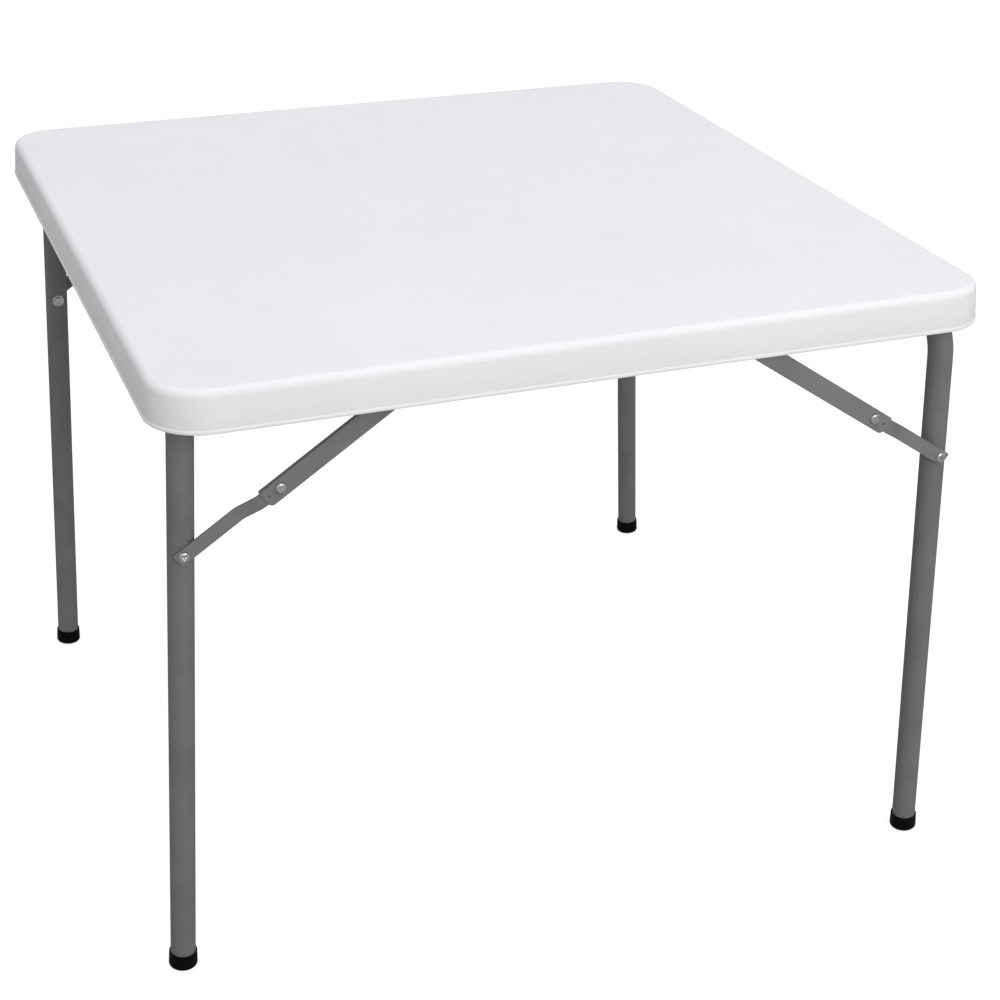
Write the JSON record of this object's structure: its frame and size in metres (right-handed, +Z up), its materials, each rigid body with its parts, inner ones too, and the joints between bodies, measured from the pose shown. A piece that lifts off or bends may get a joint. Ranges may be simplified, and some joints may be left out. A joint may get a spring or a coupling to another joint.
{
  "type": "folding table",
  "caption": "Square folding table with a hollow moulded plastic top and two folding tubular leg frames held by jointed braces.",
  "frame": {"origin": "on the floor, under the centre of the table top", "axes": "+Z up, +X from the left leg frame to the right one, +Y from front to back"},
  "size_m": [0.9574, 0.9396, 0.745],
  "materials": {
    "moulded_top": "fine-textured white high-density polyethylene",
    "coated_tube": "mid-grey hammertone powder coat",
    "coated_brace": "mid-grey powder coat",
    "plated_bracket": "zinc plated",
    "plated_fastener": "bright zinc or nickel plate",
    "foot_plastic": "black, semi-matt",
    "liner_plastic": "black nylon"
  },
  "bodies": {
    "top": {"table_top": "moulded_top", "bracket_screws": "plated_fastener", "anchor_screws": "plated_fastener", "anchor_rivets": "plated_fastener", "left_front_hinge_liner": "liner_plastic", "left_front_hinge_bracket": "plated_bracket", "left_front_brace_anchor": "plated_bracket", "left_back_hinge_liner": "liner_plastic", "left_back_hinge_bracket": "plated_bracket", "left_back_brace_anchor": "plated_bracket", "right_front_hinge_liner": "liner_plastic", "right_front_hinge_bracket": "plated_bracket", "right_front_brace_anchor": "plated_bracket", "right_back_hinge_liner": "liner_plastic", "right_back_hinge_bracket": "plated_bracket", "right_back_brace_anchor": "plated_bracket"},
    "left_leg_frame": {"left_leg_tube": "coated_tube", "left_leg_bolts": "plated_fastener", "left_leg_washers": "plated_fastener", "left_leg_nuts": "plated_fastener", "left_front_foot": "foot_plastic", "left_back_foot": "foot_plastic"},
    "left_front_upper_brace_body": {"left_front_upper_brace": "coated_brace", "left_front_knee_rivet": "plated_fastener"},
    "left_front_lower_brace_body": {"left_front_lower_brace": "coated_brace", "left_front_leg_screw_head": "plated_fastener"},
    "left_back_upper_brace_body": {"left_back_upper_brace": "coated_brace", "left_back_knee_rivet": "plated_fastener"},
    "left_back_lower_brace_body": {"left_back_lower_brace": "coated_brace", "left_back_leg_screw_head": "plated_fastener"},
    "right_leg_frame": {"right_leg_tube": "coated_tube", "right_leg_bolts": "plated_fastener", "right_leg_washers": "plated_fastener", "right_leg_nuts": "plated_fastener", "right_front_foot": "foot_plastic", "right_back_foot": "foot_plastic"},
    "right_front_upper_brace_body": {"right_front_upper_brace": "coated_brace", "right_front_knee_rivet": "plated_fastener"},
    "right_front_lower_brace_body": {"right_front_lower_brace": "coated_brace", "right_front_leg_screw_head": "plated_fastener"},
    "right_back_upper_brace_body": {"right_back_upper_brace": "coated_brace", "right_back_knee_rivet": "plated_fastener"},
    "right_back_lower_brace_body": {"right_back_lower_brace": "coated_brace", "right_back_leg_screw_head": "plated_fastener"}
  },
  "joints": [
    {"name": "left_leg_fold", "type": "hinge", "parent": "top", "child": "left_leg_frame", "pos_m": [-0.425, 0, 0.715], "axis": [0, -1, 0], "range_deg": [0, 93]},
    {"name": "left_front_upper_brace_swing", "type": "hinge", "parent": "top", "child": "left_front_upper_brace_body", "pos_m": [-0.16792, -0.4043, 0.715], "axis": [0, 1, 0], "range_deg": [0, 34]},
    {"name": "left_front_knee_fold", "type": "hinge", "parent": "left_front_upper_brace_body", "child": "left_front_lower_brace_body", "pos_m": [-0.33312, -0.4043, 0.60357], "axis": [0, -1, 0], "range_deg": [0, 180]},
    {"name": "left_back_upper_brace_swing", "type": "hinge", "parent": "top", "child": "left_back_upper_brace_body", "pos_m": [-0.16792, 0.4043, 0.715], "axis": [0, 1, 0], "range_deg": [0, 34]},
    {"name": "left_back_knee_fold", "type": "hinge", "parent": "left_back_upper_brace_body", "child": "left_back_lower_brace_body", "pos_m": [-0.33312, 0.4043, 0.60357], "axis": [0, -1, 0], "range_deg": [0, 180]},
    {"name": "right_leg_fold", "type": "hinge", "parent": "top", "child": "right_leg_frame", "pos_m": [0.425, 0, 0.715], "axis": [0, 1, 0], "range_deg": [0, 93]},
    {"name": "right_front_upper_brace_swing", "type": "hinge", "parent": "top", "child": "right_front_upper_brace_body", "pos_m": [0.16792, -0.4523, 0.715], "axis": [0, -1, 0], "range_deg": [0, 34]},
    {"name": "right_front_knee_fold", "type": "hinge", "parent": "right_front_upper_brace_body", "child": "right_front_lower_brace_body", "pos_m": [0.33312, -0.4523, 0.60357], "axis": [0, 1, 0], "range_deg": [0, 180]},
    {"name": "right_back_upper_brace_swing", "type": "hinge", "parent": "top", "child": "right_back_upper_brace_body", "pos_m": [0.16792, 0.4523, 0.715], "axis": [0, -1, 0], "range_deg": [0, 34]},
    {"name": "right_back_knee_fold", "type": "hinge", "parent": "right_back_upper_brace_body", "child": "right_back_lower_brace_body", "pos_m": [0.33312, 0.4523, 0.60357], "axis": [0, 1, 0], "range_deg": [0, 180]}
  ],
  "couplings": [
    {"joint": "left_front_upper_brace_swing", "follows": "left_leg_fold", "ratio": 0.36559},
    {"joint": "left_front_knee_fold", "follows": "left_leg_fold", "ratio": 1.9355},
    {"joint": "left_back_upper_brace_swing", "follows": "left_leg_fold", "ratio": 0.36559},
    {"joint": "left_back_knee_fold", "follows": "left_leg_fold", "ratio": 1.9355},
    {"joint": "right_front_upper_brace_swing", "follows": "right_leg_fold", "ratio": 0.36559},
    {"joint": "right_front_knee_fold", "follows": "right_leg_fold", "ratio": 1.9355},
    {"joint": "right_back_upper_brace_swing", "follows": "right_leg_fold", "ratio": 0.36559},
    {"joint": "right_back_knee_fold", "follows": "right_leg_fold", "ratio": 1.9355}
  ]
}
